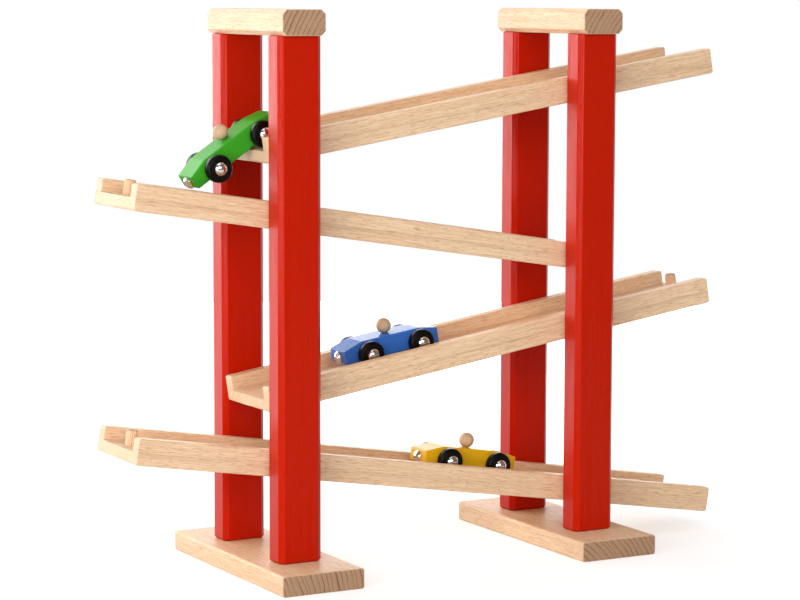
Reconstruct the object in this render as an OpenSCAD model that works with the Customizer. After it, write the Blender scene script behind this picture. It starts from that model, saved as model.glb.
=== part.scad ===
// Click clack track: four grooved beech tracks zig-zag down between two red towers,
// and three small cars roll along them, tipping off each low end onto the track below.
// Millimetres, +Z up. The origin is on the floor midway between the towers, +X runs along
// the tracks and -Y is the front. All the cars keep their noses towards -X.

/* [Towers] */
// Distance between the centres of the two towers
tower_spacing = 242; // [225:1:280]
// Width of a post, along the tracks
post_width = 33; // [26:0.5:40]
// Depth of a post, front to back
post_depth = 21; // [17:0.5:30]
// Height of the posts above the middle of the top track's underside
post_headroom = 67.5; // [62:0.5:90]
// Chamfer along a post's long edges
post_chamfer = 3.5; // [1:0.25:5]
// Chamfer around a post's foot
post_foot_chamfer = 1.4; // [0.5:0.1:3]
// Chamfer around a post's top
post_top_chamfer = 0.5; // [0.3:0.1:3]
// Thickness of a foot
foot_thickness = 14.5; // [11:0.5:20]
// Reach of a foot in front of and behind its posts
foot_end_reach = 34; // [20:0.5:45]
// Reach of a foot on either side of its posts
foot_side_reach = 15; // [8:0.5:25]
// Rounding of a foot's long edges
foot_edge_radius = 2; // [0.5:0.5:4]
// Thickness of a cap
cap_thickness = 18; // [15:0.5:26]
// Overhang of a cap past the ends of its tower
cap_end_overhang = 5; // [0:0.5:10]
// Overhang of a cap past the sides of its posts
cap_side_overhang = 0; // [0:0.5:6]
// Chamfer along a cap's long edges
cap_chamfer = 3.2; // [1:0.2:5]
// Rounding of the upright corners of feet and caps
plank_corner_radius = 1; // [0.5:0.25:3]

/* [Tracks] */
// Width of a track, which is also the gap between front and rear posts
track_width = 70; // [66:0.5:80]
// Height of a track's side
track_height = 18.7; // [16:0.1:24]
// Thickness of a track's side walls
wall_thickness = 9.4; // [5:0.1:9.8]
// Thickness of a track's floor
floor_thickness = 9.5; // [8.5:0.5:12]
// Slope of every track, in degrees
track_slope = 9; // [6:0.5:11]
// How far a low end stays inside the outer side of its tower
low_end_setback = 3.8; // [0:0.1:6]
// Spare length for a car that lands on a high end
landing_play = 13.5; // [5:0.5:40]
// Height of the bottom track's low end above the floor
run_out_height = 14.6; // [4:0.1:30]
// Gap between a driver's head and the track end that it passes under
passing_gap = 3.8; // [2:0.1:20]
// Rounding of a track's long outer edges
track_edge_radius = 1; // [0.5:0.25:2]
// Rounding of a track's ends, seen from the side
track_end_radius = 2; // [0.5:0.5:3]

/* [Stops] */
// Diameter of the fluted pin that stops a car at a high end
stop_diameter = 8; // [5:0.5:12]
// Height of a stop above the track's floor
stop_rise = 11; // [7:0.5:16]
// Depth of a stop's blind hole in the floor
stop_depth = 7; // [4:0.5:7.5]
// Distance from the high end to the middle of the stop
stop_setback = 9.5; // [7:0.5:16]
// Number of flutes around a stop
stop_flutes = 18; // [10:1:22]
// Radius of the cutter that makes a flute
flute_radius = 0.45; // [0.3:0.05:0.6]
// Depth of a flute
flute_depth = 0.35; // [0.2:0.05:0.5]

/* [Fixings] */
// Diameter of the dowels that join tracks to posts
track_dowel_diameter = 6; // [4:0.5:7]
// Length of the dowels that join tracks to posts
track_dowel_length = 20; // [14:1:24]
// Diameter of the dowels under the caps
cap_dowel_diameter = 8; // [5:0.5:12]
// Length of the dowels under the caps
cap_dowel_length = 24; // [16:1:26]
// Chamfer at the ends of every dowel
dowel_chamfer = 0.8; // [0.3:0.1:1.2]
// Spare depth at each end of a dowel's hole
dowel_end_gap = 0.5; // [0.2:0.1:1]
// Diameter of a foot screw's shank
screw_diameter = 4; // [3:0.5:5]
// Diameter of a foot screw's countersunk head
screw_head_diameter = 8; // [6.5:0.5:10]
// Depth that a screw's head is sunk below the foot's underside
screw_recess = 0.5; // [0.3:0.1:2]
// Length of a foot screw inside its post
screw_bite = 16; // [10:1:18]
// Length of a foot screw's point
screw_point = 4; // [2:0.5:6]
// Length of the cross slot in a screw's head
screw_slot_length = 4.4; // [3:0.1:5.5]
// Width of the cross slot in a screw's head
screw_slot_width = 1.1; // [0.6:0.1:1.6]
// Depth of the cross slot in a screw's head
screw_slot_depth = 1.2; // [0.6:0.1:1.8]
// Clearance around a dowel, pin or screw in its hole
fixing_clearance = 0.05; // [0.02:0.01:0.1]

/* [Cars] */
// Distance between the two axles
wheelbase = 41.5; // [36:0.5:50]
// Gap between a hub cap and the wall of the groove, on each side of a car
car_side_play = 2.7; // [1:0.1:5]
// Nose of the car ahead of the front axle
front_overhang = 18.5; // [15:0.5:24]
// Tail of the car behind the rear axle
rear_overhang = 17; // [13:0.5:24]
// Height of the roof above the axles
roof_rise = 10; // [8:0.5:14]
// Depth of the belly below the axles
belly_drop = 4.2; // [3:0.1:5]
// Length of the sloping hood
hood_length = 14.5; // [8:0.5:17]
// Drop of the hood from the roof to the nose
hood_drop = 4.4; // [2:0.1:6]
// Length of the sloping tail
tail_length = 15; // [8:0.5:17]
// Drop of the tail
tail_drop = 3; // [1:0.1:6]
// Rounding of the body's edges
car_edge_radius = 1.2; // [0.5:0.1:2]
// Diameter of a driver's ball head
head_diameter = 11; // [8:0.5:13]
// Depth of the flat where the head sits on the roof
head_flat = 0.3; // [0.1:0.1:1]
// Diameter of the driver's peg
peg_diameter = 5; // [3:0.5:6]
// Depth of the driver's peg in the roof
peg_depth = 8; // [5:0.5:10]
// Distance from the front axle back to the driver
driver_setback = 21; // [14:0.5:27]

/* [Wheels] */
// Diameter of a wheel
wheel_diameter = 19.5; // [17:0.5:24]
// Width of a wheel
wheel_width = 7; // [5:0.5:8]
// Rounding of a wheel's shoulders
wheel_shoulder = 2.4; // [1:0.1:2.4]
// Diameter of an axle
axle_diameter = 3; // [2:0.5:4]
// Running clearance of a wheel around its axle
axle_clearance = 0.06; // [0.03:0.01:0.09]
// Side gap between a wheel and the body, and between a wheel and its cap
wheel_side_gap = 0.5; // [0.3:0.1:1]
// Diameter of the domed hub caps and of the nose stud
dome_diameter = 9.2; // [6:0.2:11]
// Height of a dome above its rim
dome_height = 2.4; // [1.5:0.1:3.5]
// Height of a dome's straight rim
dome_rim = 0.5; // [0.3:0.1:1]
// Depth of the socket that grips the axle's end
cap_socket = 1.5; // [1:0.1:1.8]
// Length of the nose stud's shank
stud_shank = 8; // [5:0.5:10]
// Gap between a tread and the track's floor
rolling_gap = 0.2; // [0.1:0.05:0.5]

/* [Places of the cars] */
// Green car: distance from its rear axle to the low end of the top track
green_to_end = 6.5; // [6:0.5:12]
// Green car: nose-down angle past the slope of its track, in degrees
green_tip = 25; // [0:1:25]
// Blue car: distance from its front axle to the low end of the third track
blue_to_end = 93; // [20:1:240]
// Yellow car: distance from its rear axle to the low end of the bottom track
yellow_to_end = 180; // [20:1:300]

/* [Hidden] */
$fn = 64;

// The tracks, numbered from the top
TRACKS = [0, 1, 2, 3];
TOP = TRACKS[0];
SECOND = TRACKS[1];
THIRD = TRACKS[2];
BOTTOM = TRACKS[3];

// The two ways along X and along Y
WAYS = [-1, 1];
LEFT = WAYS[0];
RIGHT = WAYS[1];
FRONT = WAYS[0];
REAR = WAYS[1];

beech = [0.90, 0.77, 0.62];
red_paint = [0.75, 0.10, 0.05];
black_wheel = [0.08, 0.07, 0.07];
bright_metal = [0.80, 0.80, 0.82];
steel = [0.60, 0.60, 0.62];

// Extra length of a cutting shape past the face that it opens
overcut = 1;

// Width of the groove that the cars run in
groove_width = track_width - 2 * wall_thickness;

// Car sizes, measured from the middle of the rear axle with the tail towards +X
wheel_radius = wheel_diameter / 2;
hub_width = wheel_width + 2 * wheel_side_gap + dome_rim + dome_height;
car_width = groove_width - 2 * (car_side_play + hub_width);
nose_x = -wheelbase - front_overhang;
tail_x = rear_overhang;
car_length = tail_x - nose_x;
driver_x = driver_setback - wheelbase;
head_rise = head_diameter / 2 - head_flat;
wheel_y = car_width / 2 + wheel_side_gap + wheel_width / 2;
cap_y = wheel_y + wheel_width / 2 + wheel_side_gap;
axle_length = 2 * (cap_y + cap_socket - fixing_clearance);
axle_over_floor = wheel_radius + rolling_gap;
car_height = axle_over_floor + roof_rise + head_rise + head_diameter / 2;

// Fineness of the body's rounded edges and of the domes
edge_steps = 3;
edge_facets = 24;
dome_facets = 96;

// Track sizes: a reach is measured along the track from the middle of the toy
low_reach = (tower_spacing / 2 + post_width / 2 - low_end_setback) / cos(track_slope);
landing_length = car_length + landing_play + stop_setback + stop_diameter / 2;
high_reach = low_reach + landing_length;
car_clear_height = floor_thickness + car_height + passing_gap;
track_spacing = car_clear_height / cos(track_slope) + 2 * low_reach * sin(track_slope);
bottom_track_mid = run_out_height + high_reach * sin(track_slope);
stop_length = stop_depth + stop_rise;
track_dowel_above = floor_thickness / 2;

// Tower sizes
post_y = track_width / 2 + post_depth / 2;
tower_depth = track_width + 2 * post_depth;
post_length = track_mid(TOP) + post_headroom - foot_thickness;
post_top = foot_thickness + post_length;
foot_length = tower_depth + 2 * foot_end_reach;
foot_width = post_width + 2 * foot_side_reach;
cap_length = tower_depth + 2 * cap_end_overhang;
cap_width = post_width + 2 * cap_side_overhang;
screw_length = foot_thickness - screw_recess + screw_bite;
screw_head_depth = (screw_head_diameter - screw_diameter) / 2;

// Even tracks fall towards -X and odd ones towards +X
function downhill(track) = track % 2 == 0 ? -1 : 1;
function track_angle(track) = -downhill(track) * track_slope;
function track_mid(track) = bottom_track_mid + (BOTTOM - track) * track_spacing;
function low_end(track) = downhill(track) * (track == BOTTOM ? high_reach : low_reach);
function high_end(track) = -downhill(track) * high_reach;
function stop_along(track) = high_end(track) + downhill(track) * stop_setback;
function tower_x(side) = side * tower_spacing / 2;

// Height at which a track's floor crosses the middle of a tower
function track_dowel_z(track, side) = track_mid(track)
    + tower_x(side) * tan(track_angle(track))
    + track_dowel_above / cos(track_angle(track));

// Name, paint, track, place of the rear axle along that track, and nose-down angle
CARS = [
    ["green", [0.30, 0.72, 0.22], TOP, low_end(TOP) + green_to_end, green_tip],
    ["blue", [0.25, 0.42, 0.78], THIRD, low_end(THIRD) + blue_to_end + wheelbase, 0],
    ["yellow", [0.90, 0.75, 0.15], BOTTOM, low_end(BOTTOM) - yellow_to_end, 0]
];

CAR_PIECES = [
    "body", "driver", "nose_stud", "front_axle", "rear_axle", "hub_caps",
    "front_left_wheel", "front_right_wheel", "rear_left_wheel", "rear_right_wheel"
];

FRAME_PIECES = [
    "left_foot", "right_foot",
    "left_front_post", "left_rear_post", "right_front_post", "right_rear_post",
    "left_cap", "right_cap",
    "top_track", "second_track", "third_track", "bottom_track",
    "second_track_stop", "third_track_stop", "bottom_track_stop",
    "track_dowels", "cap_dowels", "foot_screws"
];

NODES = concat(FRAME_PIECES, [for (car = CARS, piece = CAR_PIECES) car_node(car, piece)]);
node = "all";

function car_node(car, piece) = str(car[0], "_car_", piece);
function wanted(name) = node == "all" || node == name;

// A rectangle about the origin with round corners
module rounded_rectangle(width, height, radius) {
    square([width - 2 * radius, height], center = true);
    square([width, height - 2 * radius], center = true);
    for (x = [-1, 1], y = [-1, 1])
        translate([x * (width / 2 - radius), y * (height / 2 - radius)])
            circle(radius);
}

// A rectangle about the origin with its corners cut off at 45 degrees
module chamfered_rectangle(width, height, chamfer) {
    w = width / 2;
    h = height / 2;
    polygon([
        [chamfer - w, -h], [w - chamfer, -h], [w, chamfer - h], [w, h - chamfer],
        [w - chamfer, h], [chamfer - w, h], [-w, h - chamfer], [-w, chamfer - h]
    ]);
}

// Turns a drawing so that it faces the front, with its extrusion along Y
module facing_front() rotate([90, 0, 0]) children();

// Turns a drawing so that it faces the side, with its extrusion along X
module facing_side() rotate([90, 0, 90]) children();

// A plank lying front to back, resting on Z = 0; its section is the child
module plank(width, length, thickness) {
    intersection() {
        translate([0, 0, thickness / 2])
            facing_front()
                linear_extrude(length + overcut, center = true)
                    children();
        translate([0, 0, -overcut])
            linear_extrude(thickness + 2 * overcut)
                rounded_rectangle(width, length, plank_corner_radius);
    }
}

// A plain dowel about the origin, along Z, with chamfered ends
module dowel(diameter, length) {
    radius = diameter / 2;
    half = length / 2;
    rotate_extrude()
        polygon([
            [0, -half], [radius - dowel_chamfer, -half], [radius, dowel_chamfer - half],
            [radius, half - dowel_chamfer], [radius - dowel_chamfer, half], [0, half]
        ]);
}

// The hole for half of such a dowel on either side of a joint
module dowel_hole(diameter, length) {
    cylinder(
        d = diameter + 2 * fixing_clearance,
        h = length + 2 * dowel_end_gap,
        center = true
    );
}

module at_track_dowel(track, side, row) {
    translate([tower_x(side), row * track_width / 2, track_dowel_z(track, side)])
        facing_front()
            children();
}

module at_cap_dowel(side, row) translate([tower_x(side), row * post_y, post_top]) children();

module at_foot_screw(side, row) translate([tower_x(side), row * post_y, screw_recess]) children();

// A countersunk screw, head down, on Z = 0; spare widens it into its hole
module screw(spare = 0) {
    radius = screw_diameter / 2 + spare;
    head = screw_head_diameter / 2 + spare;
    rotate_extrude()
        polygon([
            [0, -spare], [head, -spare], [radius, screw_head_depth],
            [radius, screw_length - screw_point], [0, screw_length + spare]
        ]);
}

// The slot of a screw's head, crossed by another like it
module cross_slot() {
    for (turn = [0, 90])
        rotate(turn)
            translate([-screw_slot_length / 2, -screw_slot_width / 2, -overcut])
                cube([screw_slot_length, screw_slot_width, screw_slot_depth + overcut]);
}

module foot_screws() {
    color(steel)
        for (side = WAYS, row = WAYS)
            at_foot_screw(side, row)
                difference() {
                    screw();
                    cross_slot();
                }
}

module cap_dowels() {
    color(beech)
        for (side = WAYS, row = WAYS)
            at_cap_dowel(side, row) dowel(cap_dowel_diameter, cap_dowel_length);
}

module track_dowels() {
    color(beech)
        for (track = TRACKS, side = WAYS, row = WAYS)
            at_track_dowel(track, side, row) dowel(track_dowel_diameter, track_dowel_length);
}

module foot(side) {
    color(beech)
        difference() {
            translate([tower_x(side), 0, 0])
                plank(foot_width, foot_length, foot_thickness)
                    rounded_rectangle(foot_width, foot_thickness, foot_edge_radius);
            for (row = WAYS)
                at_foot_screw(side, row) {
                    screw(fixing_clearance);
                    translate([0, 0, -screw_recess - overcut])
                        cylinder(
                            d = screw_head_diameter + 2 * fixing_clearance,
                            h = screw_recess + overcut - fixing_clearance / 2
                        );
                }
        }
}

module cap(side) {
    color(beech)
        difference() {
            translate([tower_x(side), 0, post_top])
                plank(cap_width, cap_length, cap_thickness)
                    chamfered_rectangle(cap_width, cap_thickness, cap_chamfer);
            for (row = WAYS)
                at_cap_dowel(side, row) dowel_hole(cap_dowel_diameter, cap_dowel_length);
        }
}

// A post from the front or the side, standing on Y = 0, with its ends' corners cut off
module post_outline(width) {
    w = width / 2;
    polygon([
        [post_foot_chamfer - w, 0], [w - post_foot_chamfer, 0], [w, post_foot_chamfer],
        [w, post_length - post_top_chamfer], [w - post_top_chamfer, post_length],
        [post_top_chamfer - w, post_length], [-w, post_length - post_top_chamfer],
        [-w, post_foot_chamfer]
    ]);
}

// A post with chamfered long edges and ends, standing on Z = 0
module post_blank() {
    intersection() {
        translate([0, 0, -overcut])
            linear_extrude(post_length + 2 * overcut)
                chamfered_rectangle(post_width, post_depth, post_chamfer);
        facing_front()
            linear_extrude(post_depth + overcut, center = true)
                post_outline(post_width);
        facing_side()
            linear_extrude(post_width + overcut, center = true)
                post_outline(post_depth);
    }
}

module post(side, row) {
    color(red_paint)
        difference() {
            translate([tower_x(side), row * post_y, foot_thickness]) post_blank();
            for (track = TRACKS)
                at_track_dowel(track, side, row)
                    dowel_hole(track_dowel_diameter, track_dowel_length);
            at_cap_dowel(side, row) dowel_hole(cap_dowel_diameter, cap_dowel_length);
            at_foot_screw(side, row) screw(fixing_clearance);
        }
}

// Puts children on a track: along it from the middle of the toy, and above its underside
module on_track(track, along, above) {
    translate([0, 0, track_mid(track)])
        rotate([0, -track_angle(track), 0])
            translate([along, 0, above])
                children();
}

// The grooved section of a track, from the side wall in front to the one behind
module track_section() {
    difference() {
        rounded_rectangle(track_width, track_height, track_edge_radius);
        translate([-groove_width / 2, floor_thickness - track_height / 2])
            square([groove_width, track_height]);
    }
}

module track_blank(length) {
    intersection() {
        facing_side()
            linear_extrude(length + overcut, center = true)
                track_section();
        facing_front()
            linear_extrude(track_width + overcut, center = true)
                rounded_rectangle(length, track_height, track_end_radius);
    }
}

module track(track) {
    color(beech)
        difference() {
            on_track(track, (low_end(track) + high_end(track)) / 2, track_height / 2)
                track_blank(abs(low_end(track) - high_end(track)));
            for (side = WAYS, row = WAYS)
                at_track_dowel(track, side, row)
                    dowel_hole(track_dowel_diameter, track_dowel_length);
            if (track != TOP)
                on_track(track, stop_along(track), floor_thickness - stop_depth)
                    cylinder(
                        d = stop_diameter + 2 * fixing_clearance,
                        h = stop_depth + overcut
                    );
        }
}

// The cross-section of a fluted pin
module fluted_disc() {
    difference() {
        circle(d = stop_diameter);
        for (flute = [0:stop_flutes - 1])
            rotate(flute * 360 / stop_flutes)
                translate([stop_diameter / 2 + flute_radius - flute_depth, 0])
                    circle(flute_radius);
    }
}

module stop(track) {
    radius = stop_diameter / 2;
    color(beech)
        on_track(track, stop_along(track), floor_thickness - stop_depth)
            intersection() {
                linear_extrude(stop_length) fluted_disc();
                rotate_extrude()
                    polygon([
                        [0, -overcut], [radius + overcut, -overcut],
                        [radius + overcut, stop_length - dowel_chamfer - overcut],
                        [radius - dowel_chamfer, stop_length], [0, stop_length]
                    ]);
            }
}

// The body's side view, with the rear axle at the origin
module car_outline() {
    polygon([
        [nose_x, -belly_drop], [nose_x, roof_rise - hood_drop],
        [nose_x + hood_length, roof_rise], [tail_x - tail_length, roof_rise],
        [tail_x, roof_rise - tail_drop], [tail_x, -belly_drop]
    ]);
}

// The body's block: slices of the side view that narrow together round every edge
module car_block() {
    facing_front()
        hull()
            for (step = [0:edge_steps]) {
                turn = 90 * step / edge_steps;
                linear_extrude(car_width - 2 * car_edge_radius * (1 - sin(turn)), center = true)
                    offset(r = car_edge_radius * cos(turn), $fn = edge_facets)
                        offset(delta = -car_edge_radius)
                            car_outline();
            }
}

module at_axles() for (x = [-wheelbase, 0]) translate([x, 0, 0]) children();

module car_body(paint) {
    color(paint)
        difference() {
            car_block();
            at_axles()
                facing_front()
                    cylinder(
                        d = axle_diameter + 2 * fixing_clearance,
                        h = car_width + 2 * overcut,
                        center = true
                    );
            translate([driver_x, 0, roof_rise - peg_depth - dowel_end_gap])
                cylinder(
                    d = peg_diameter + 2 * fixing_clearance,
                    h = peg_depth + dowel_end_gap + overcut
                );
            translate([nose_x - overcut, 0, 0])
                rotate([0, 90, 0])
                    cylinder(
                        d = axle_diameter + 2 * fixing_clearance,
                        h = stud_shank + dowel_end_gap + overcut
                    );
        }
}

// A ball head with a flat seat on the roof and a peg below it
module car_driver() {
    color(beech)
        translate([driver_x, 0, roof_rise]) {
            difference() {
                translate([0, 0, head_rise]) sphere(d = head_diameter);
                translate([0, 0, -head_diameter])
                    cylinder(d = head_diameter, h = head_diameter);
            }
            translate([0, 0, -peg_depth])
                cylinder(d = peg_diameter, h = peg_depth + head_rise);
        }
}

// Half of a dome's section, standing on Y = 0
module dome_section() {
    radius = dome_diameter / 2;
    sphere_radius = (radius * radius + dome_height * dome_height) / (2 * dome_height);
    intersection() {
        translate([0, dome_rim + dome_height - sphere_radius]) circle(sphere_radius, $fn = dome_facets);
        square([radius, dome_rim + dome_height]);
    }
}

// A dome on a shank, looking forward from the nose
module car_nose_stud() {
    color(bright_metal)
        translate([nose_x, 0, 0])
            rotate([0, -90, 0]) {
                rotate_extrude() dome_section();
                translate([0, 0, -stud_shank]) cylinder(d = axle_diameter, h = stud_shank + dome_rim);
            }
}

module car_axle(x) {
    color(steel)
        translate([x, 0, 0])
            facing_front()
                cylinder(d = axle_diameter, h = axle_length, center = true);
}

module car_hub_caps() {
    color(bright_metal)
        at_axles()
            for (side = [-1, 1])
                translate([0, side * cap_y, 0])
                    rotate([-90 * side, 0, 0])
                        rotate_extrude()
                            difference() {
                                dome_section();
                                square([axle_diameter / 2 + fixing_clearance, cap_socket]);
                            }
}

// Rounded shoulders and a plain bore, turned about the axle
module car_wheel(x, side) {
    color(black_wheel)
        translate([x, side * wheel_y, 0])
            facing_front()
                rotate_extrude()
                    difference() {
                        intersection() {
                            rounded_rectangle(wheel_diameter, wheel_width, wheel_shoulder);
                            translate([0, -wheel_width]) square([wheel_diameter, 2 * wheel_width]);
                        }
                        translate([0, -wheel_width])
                            square([axle_diameter / 2 + axle_clearance, 2 * wheel_width]);
                    }
}

// Stands a car on its track, turned nose down about its rear axle
module place_car(car) {
    on_track(car[2], car[3], floor_thickness + axle_over_floor)
        rotate([0, -car[4], 0])
            children();
}

if (wanted("left_foot")) foot(LEFT);
if (wanted("right_foot")) foot(RIGHT);
if (wanted("left_front_post")) post(LEFT, FRONT);
if (wanted("left_rear_post")) post(LEFT, REAR);
if (wanted("right_front_post")) post(RIGHT, FRONT);
if (wanted("right_rear_post")) post(RIGHT, REAR);
if (wanted("left_cap")) cap(LEFT);
if (wanted("right_cap")) cap(RIGHT);
if (wanted("top_track")) track(TOP);
if (wanted("second_track")) track(SECOND);
if (wanted("third_track")) track(THIRD);
if (wanted("bottom_track")) track(BOTTOM);
if (wanted("second_track_stop")) stop(SECOND);
if (wanted("third_track_stop")) stop(THIRD);
if (wanted("bottom_track_stop")) stop(BOTTOM);
if (wanted("track_dowels")) track_dowels();
if (wanted("cap_dowels")) cap_dowels();
if (wanted("foot_screws")) foot_screws();

// The left side of a car is towards -Y, because its nose is towards -X
for (car = CARS) {
    if (wanted(car_node(car, "body"))) place_car(car) car_body(car[1]);
    if (wanted(car_node(car, "driver"))) place_car(car) car_driver();
    if (wanted(car_node(car, "nose_stud"))) place_car(car) car_nose_stud();
    if (wanted(car_node(car, "front_axle"))) place_car(car) car_axle(-wheelbase);
    if (wanted(car_node(car, "rear_axle"))) place_car(car) car_axle(0);
    if (wanted(car_node(car, "hub_caps"))) place_car(car) car_hub_caps();
    if (wanted(car_node(car, "front_left_wheel"))) place_car(car) car_wheel(-wheelbase, -1);
    if (wanted(car_node(car, "front_right_wheel"))) place_car(car) car_wheel(-wheelbase, 1);
    if (wanted(car_node(car, "rear_left_wheel"))) place_car(car) car_wheel(0, -1);
    if (wanted(car_node(car, "rear_right_wheel"))) place_car(car) car_wheel(0, 1);
}
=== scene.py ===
"""Looks of a wooden car run: beech planks, tracks and pins, red posts and three painted cars."""

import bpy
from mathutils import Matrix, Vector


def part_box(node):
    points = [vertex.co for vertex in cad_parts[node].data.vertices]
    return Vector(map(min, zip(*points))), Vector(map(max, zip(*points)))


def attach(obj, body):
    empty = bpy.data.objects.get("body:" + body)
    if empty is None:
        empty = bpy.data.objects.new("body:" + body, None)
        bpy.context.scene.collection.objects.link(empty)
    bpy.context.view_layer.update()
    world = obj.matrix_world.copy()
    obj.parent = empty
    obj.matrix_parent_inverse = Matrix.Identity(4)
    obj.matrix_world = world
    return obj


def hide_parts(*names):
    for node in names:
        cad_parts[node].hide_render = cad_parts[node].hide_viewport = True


bl_info = {
    "name": "Wooden car run",
    "version": (1, 0, 0),
    "blender": (4, 5, 0),
    "location": "View3D > Sidebar > Car run",
    "description": "Dresses the frame of a zig-zag car run in beech, paint and bright metal",
    "category": "Object",
}

import math
from itertools import product

import bpy
import numpy as np
from bpy.props import FloatProperty, FloatVectorProperty, IntProperty, PointerProperty
from mathutils import Matrix, Vector

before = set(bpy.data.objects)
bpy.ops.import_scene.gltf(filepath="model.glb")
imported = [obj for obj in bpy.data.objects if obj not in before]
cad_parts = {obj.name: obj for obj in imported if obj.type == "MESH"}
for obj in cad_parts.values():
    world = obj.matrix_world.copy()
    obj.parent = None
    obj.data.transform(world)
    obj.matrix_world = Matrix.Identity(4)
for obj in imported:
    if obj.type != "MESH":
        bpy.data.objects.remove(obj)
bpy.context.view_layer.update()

MM = 0.001
X_AXIS, Y_AXIS, Z_AXIS = np.eye(3)

TOWERS = ("left", "right")
ROWS = ("front", "rear")
SIDES = ("left", "right")
AXLES = ("front", "rear")
CARS = ("green", "blue", "yellow")
# Tracks from the top, each with the way it climbs along X
TRACKS = {"top_track": 1, "second_track": -1, "third_track": 1, "bottom_track": -1}
STOPPED_TRACKS = ("second_track", "third_track", "bottom_track")

IN_MILLIMETRES = (1 / MM, 1 / MM, 1 / MM)
# How far a stop's pin is drawn below the track's floor
STOP_SUNK = 3 * MM
# Width of the camera's sensor in millimetres, and radius of the floor in metres
SENSOR_WIDTH = 36.0
FLOOR_RADIUS = 1.6
# Each lamp's name, the property of its power, its width and height, and its place, in metres
LAMPS = (
    ("Key soft box", "key_power", (0.9, 1.1), (-1.9, -1.05, 0.45)),
    ("Sheen panel", "sheen_power", (1.8, 1.8), (-1.0, 1.8, 0.9)),
    ("Rear panel", "rear_power", (2.6, 0.9), (0.6, 2.2, 0.5)),
    ("Fill soft box", "fill_power", (2.0, 1.2), (-0.9, -2.1, 1.2)),
    ("Top soft box", "top_power", (1.5, 1.5), (-0.6, -0.4, 2.4)),
)
LAMP_TARGET = np.array([0, 0, 0.2])


def linear(red, green, blue):
    """The scene colour of a screen colour in 0 to 255: the usual power law, straight near black."""
    share = np.array((red, green, blue)) / 255
    curve = np.where(share > 0.04045, ((share + 0.055) / 1.055) ** 2.4, share / 12.92)
    return tuple(float(value) for value in curve)


def amount(name, description, value, **kind):
    """A property that is a number, of some kind."""
    return FloatProperty(name=name, description=description, default=value, **kind)


def length(name, description, millimetres):
    """A length property, given in millimetres and kept in metres."""
    return amount(name, description, millimetres * MM, min=0.0, subtype="DISTANCE", unit="LENGTH")


def angle(name, description, degrees):
    """An angle property, given in degrees and kept in radians."""
    return amount(name, description, math.radians(degrees), subtype="ANGLE", unit="ROTATION")


def power(name, description, watts):
    """A lamp's power property."""
    return amount(name, description, watts, min=0.0, subtype="POWER")


def count(name, description, number, low, high):
    """A property that counts things."""
    return IntProperty(name=name, description=description, default=number, min=low, max=high)


def colour(name, description, red, green, blue):
    """A colour property, given as it looks on a screen."""
    return FloatVectorProperty(
        name=name,
        description=description,
        default=linear(red, green, blue),
        min=0.0,
        max=1.0,
        size=3,
        subtype="COLOR",
    )


class CarRunWood(bpy.types.PropertyGroup):
    """Sizes of the towers and tracks that the frame's boxes don't give."""

    edge_ease: length("Edge ease", "Softness of a sanded edge", 0.5)
    post_chamfer: length("Post chamfer", "Chamfer along a post's edges", 3.5)
    post_foot_chamfer: length("Post foot chamfer", "Chamfer round a post's foot", 1.4)
    post_top_chamfer: length("Post top chamfer", "Chamfer round a post's top", 0.5)
    cap_chamfer: length("Cap chamfer", "Chamfer along a cap's edges", 3.2)
    foot_edge: length("Foot edge", "Rounding along a foot's edges", 2.0)
    plank_end: length("Plank end", "Rounding round the ends of feet and caps", 0.9)
    track_slope: angle("Track slope", "Slope of every track", 9.0)
    track_wall: length("Track wall", "Thickness of a track's side walls", 9.4)
    track_floor: length("Track floor", "Thickness of a track's floor", 9.5)
    track_edge: length("Track edge", "Rounding along a track's outer edges", 1.0)
    track_end: length("Track end", "Rounding of a track's ends from the side", 2.0)
    stop_setback: length("Stop setback", "From a high end to the stop's middle", 9.5)
    stop_diameter: length("Stop diameter", "Diameter of a fluted stop", 8.0)
    stop_rise: length("Stop rise", "Height of a stop above the track's floor", 11.0)
    stop_chamfer: length("Stop chamfer", "Chamfer round a stop's top", 0.8)
    flute_depth: length("Flute depth", "Depth of a flute in a stop", 0.35)
    stop_flutes: count("Stop flutes", "Flutes round a stop", 18, 6, 40)


class CarRunCars(bpy.types.PropertyGroup):
    """Sizes of the cars that the frame's boxes don't give."""

    nose: length("Nose", "Nose of a car ahead of its front axle", 18.5)
    tail: length("Tail", "Tail of a car behind its rear axle", 17.0)
    roof_rise: length("Roof rise", "Height of the roof above the axles", 10.0)
    belly_drop: length("Belly drop", "Depth of the belly below the axles", 4.2)
    hood_length: length("Hood length", "Length of the sloping hood", 14.5)
    hood_drop: length("Hood drop", "Drop of the hood to the nose", 4.4)
    tail_length: length("Tail length", "Length of the sloping tail", 15.0)
    tail_drop: length("Tail drop", "Drop of the tail", 3.0)
    body_edge: length("Body edge", "Rounding of the body's edges", 1.2)
    head_diameter: length("Head diameter", "Diameter of a driver's ball head", 11.0)
    head_flat: length("Head flat", "Depth of the flat under a head", 0.3)
    driver_setback: length("Driver setback", "From the front axle back to the driver", 21.0)
    wheel_shoulder: length("Wheel shoulder", "Rounding of a wheel's shoulders", 2.4)
    wheel_bore: length("Wheel bore", "Diameter of a wheel's bore", 3.12)
    groove_depth: length("Groove depth", "Depth of the turned grooves in a wheel's faces", 0.12)
    wheel_grooves: count("Wheel grooves", "Turned grooves in a wheel's face", 2, 1, 5)
    dome_diameter: length("Dome diameter", "Diameter of hub caps and nose studs", 9.2)
    dome_height: length("Dome height", "Height of a dome above its rim", 2.4)
    dome_rim: length("Dome rim", "Height of a dome's straight rim", 0.5)


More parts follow.
